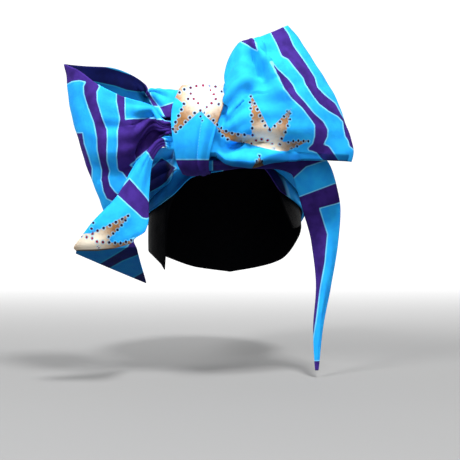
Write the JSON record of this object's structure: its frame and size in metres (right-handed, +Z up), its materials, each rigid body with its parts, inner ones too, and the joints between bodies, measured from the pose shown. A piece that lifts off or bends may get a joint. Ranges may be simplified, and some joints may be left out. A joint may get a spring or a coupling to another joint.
{
  "type": "head wrap",
  "caption": "Printed cotton head wrap over a satin band, knotted at the front into a large bow with a turned-under tail and a long pointed tail.",
  "frame": {"origin": "middle of the head that the wrap sits on, level with the brow", "axes": "+Z up, the wearer looks along -Y, +X is on the right of a viewer who faces the wearer"},
  "size_m": [0.268, 0.2653, 0.3247],
  "materials": {
    "satin": "smooth black satin with a soft sheen",
    "cotton_crown": "printed plain-weave cotton, blue with purple bands",
    "cotton_wraps": "printed plain-weave cotton, blue with purple bands, folded",
    "cotton_knot": "printed plain-weave cotton with a starfish in cream and tan",
    "cotton_loops": "printed plain-weave cotton, light blue with purple bands",
    "cotton_tails": "printed plain-weave cotton, light blue with purple bands"
  },
  "bodies": {
    "root": {"satin_band": "satin", "crown": "cotton_crown", "side_wrap_left": "cotton_wraps", "side_wrap_right": "cotton_wraps", "knot": "cotton_knot", "bow_loop_left": "cotton_loops", "bow_loop_right": "cotton_loops", "tail_left": "cotton_tails", "tail_right": "cotton_tails"}
  },
  "joints": []
}
